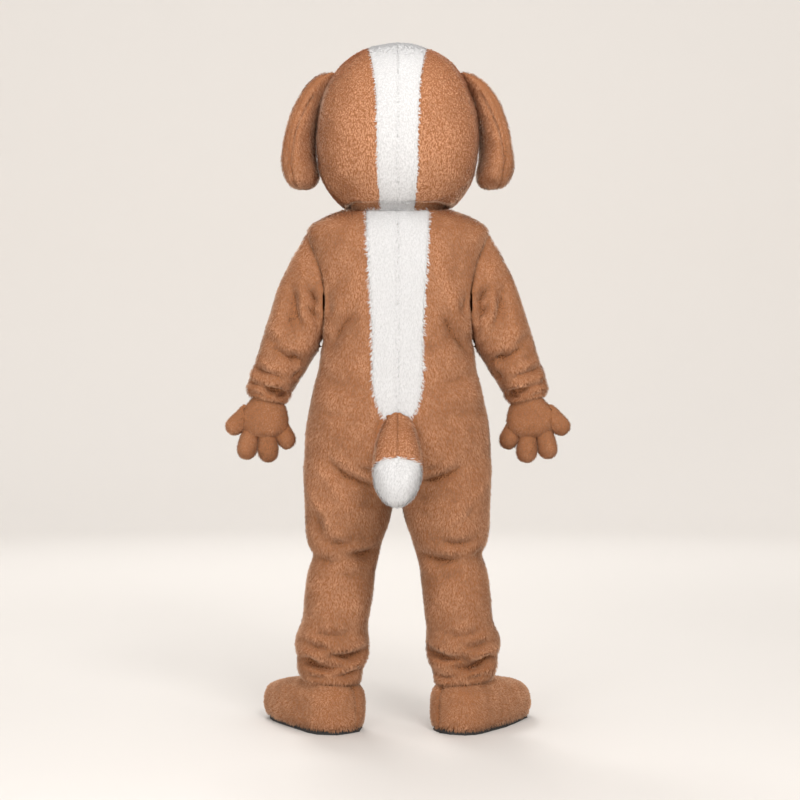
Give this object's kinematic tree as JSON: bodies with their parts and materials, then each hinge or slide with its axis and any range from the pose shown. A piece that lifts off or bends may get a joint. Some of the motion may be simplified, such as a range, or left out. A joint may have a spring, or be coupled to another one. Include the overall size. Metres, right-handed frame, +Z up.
{
  "type": "dog mascot costume",
  "caption": "Worn plush dog mascot costume: hollow round head with drooping ears, body suit with a centre-back opening, gloves, stuffed tail and foam boots, hollow for the wearer.",
  "frame": {"origin": "where the suit hangs on the wearer, between the shoulders at the root of the neck, 1.360 m above the soles' undersides", "axes": "+Z up, the wearer faces -Y, +X to the wearer's left"},
  "size_m": [0.924, 0.6625, 1.823],
  "materials": {
    "brown_plush": "short-pile brown plush",
    "white_plush": "short-pile off-white plush",
    "black_rubber": "matt sole rubber",
    "black_gloss": "glossy moulded"
  },
  "bodies": {
    "root": {"back_left": "brown_plush", "back_right": "brown_plush", "back_stripe_left": "white_plush", "back_stripe_right": "white_plush", "boot_inner_left": "brown_plush", "boot_inner_right": "brown_plush", "boot_outer_left": "brown_plush", "boot_outer_right": "brown_plush", "ear_inner_left": "brown_plush", "ear_inner_right": "brown_plush", "ear_outer_left": "brown_plush", "ear_outer_right": "brown_plush", "eye_left": "black_gloss", "eye_right": "black_gloss", "front_left": "brown_plush", "front_right": "brown_plush", "glove_digit_left_1": "brown_plush", "glove_digit_left_2": "brown_plush", "glove_digit_left_3": "brown_plush", "glove_digit_left_4": "brown_plush", "glove_digit_right_1": "brown_plush", "glove_digit_right_2": "brown_plush", "glove_digit_right_3": "brown_plush", "glove_digit_right_4": "brown_plush", "glove_hand_left": "brown_plush", "glove_hand_right": "brown_plush", "head_left": "brown_plush", "head_right": "brown_plush", "head_stripe_left": "white_plush", "head_stripe_right": "white_plush", "muzzle": "white_plush", "neck_left": "brown_plush", "neck_right": "brown_plush", "neck_white": "white_plush", "nose": "black_gloss", "sleeve_left": "brown_plush", "sleeve_right": "brown_plush", "sole_left": "black_rubber", "sole_right": "black_rubber", "tail_left": "brown_plush", "tail_right": "brown_plush", "tail_tip_left": "white_plush", "tail_tip_right": "white_plush"}
  },
  "joints": []
}
